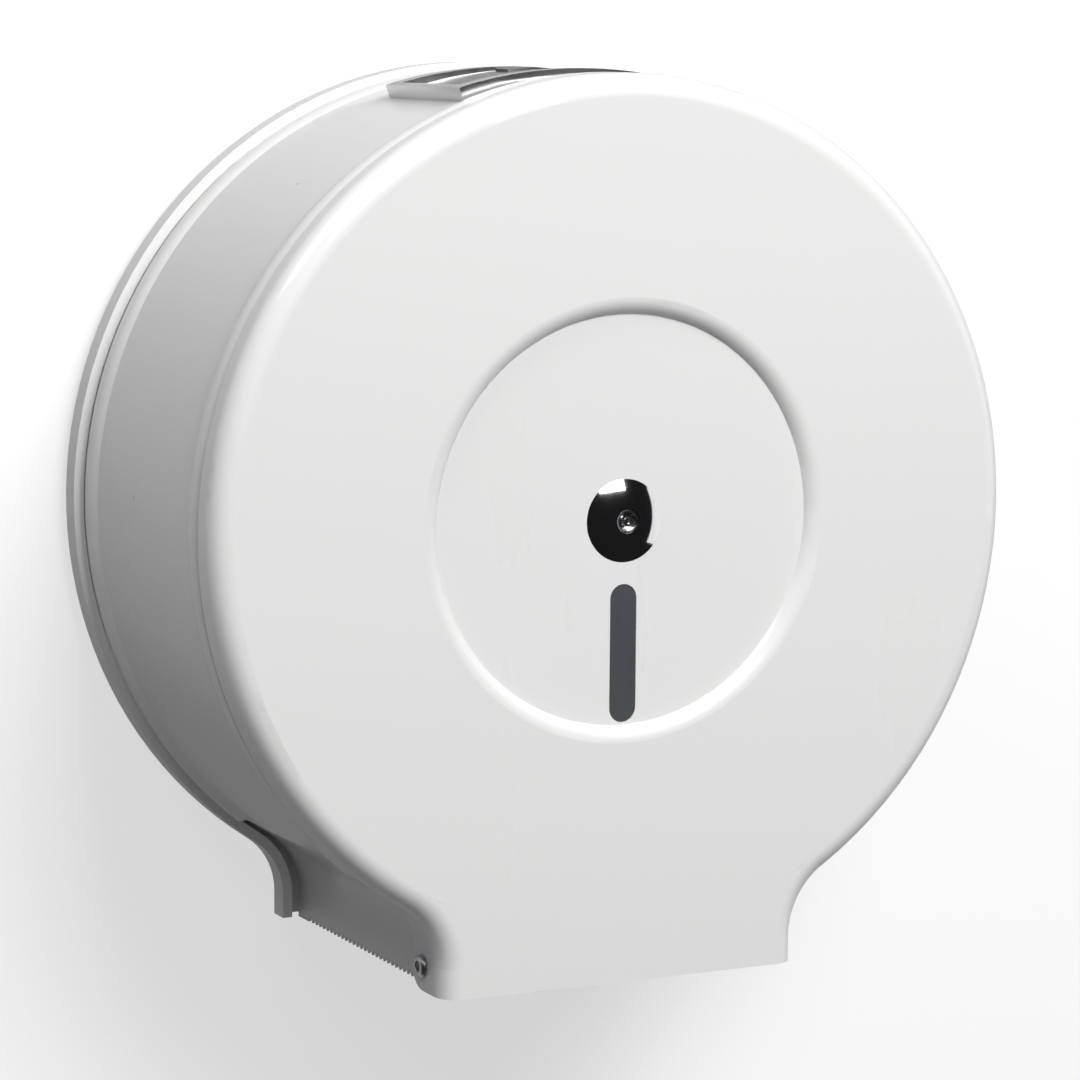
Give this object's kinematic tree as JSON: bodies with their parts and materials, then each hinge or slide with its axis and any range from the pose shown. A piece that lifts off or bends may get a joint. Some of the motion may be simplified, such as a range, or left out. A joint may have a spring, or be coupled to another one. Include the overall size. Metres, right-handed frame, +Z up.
{
  "type": "jumbo toilet roll dispenser",
  "caption": "Round wall-mounted steel dispenser for a jumbo toilet roll, with a key-locked front cover that hinges down at its neck and a spindle hub for the roll.",
  "frame": {"origin": "on the back pan's rear face, on the axis of the roll's spindle, which is the centre of the round drum", "axes": "+X right seen from in front of the dispenser, +Y into the wall, +Z up; the cover faces -Y"},
  "size_m": [0.274, 0.12, 0.2803],
  "materials": {
    "white_epoxy": "gloss white epoxy powder coat",
    "stainless": "fine brushed",
    "chrome": "polished chrome plate",
    "zinc_steel": "bright zinc plate",
    "hub_plastic": "satin moulded ABS",
    "nylon": "natural nylon",
    "window_plastic": "smoked clear acrylic"
  },
  "bodies": {
    "root": {"back_pan": "white_epoxy", "drum_wall": "white_epoxy", "neck_plate_left": "stainless", "neck_plate_right": "stainless", "pan_rivets": "zinc_steel", "foot_rivets": "zinc_steel", "hinge_rivets": "zinc_steel", "hinge_washers": "nylon", "spindle_bracket": "zinc_steel", "spindle": "stainless", "brake_washer": "nylon", "hub_clip": "zinc_steel", "top_tray_frame": "chrome", "top_tray_floor": "stainless", "tray_screws": "zinc_steel"},
    "hub": {"roll_hub": "hub_plastic"},
    "cover": {"front_cover": "white_epoxy", "sight_window": "window_plastic", "window_keeper": "zinc_steel", "keeper_nuts": "zinc_steel", "lock_rosette": "chrome", "lock_barrel": "zinc_steel", "lock_nut": "zinc_steel"},
    "lock": {"lock_plug": "chrome", "lock_cam": "zinc_steel"}
  },
  "joints": [
    {"name": "cover_hinge", "type": "hinge", "parent": "root", "child": "cover", "pos_m": [0, -0.1046, -0.1347], "axis": [1, 0, 0], "range_deg": [0, 110]},
    {"name": "hub_spin", "type": "hinge", "parent": "root", "child": "hub", "pos_m": [0, -0.06, 0], "axis": [0, -1, 0], "continuous": true},
    {"name": "lock_turn", "type": "hinge", "parent": "cover", "child": "lock", "pos_m": [0, -0.11, 0], "axis": [0, 1, 0], "range_deg": [0, 90]}
  ]
}
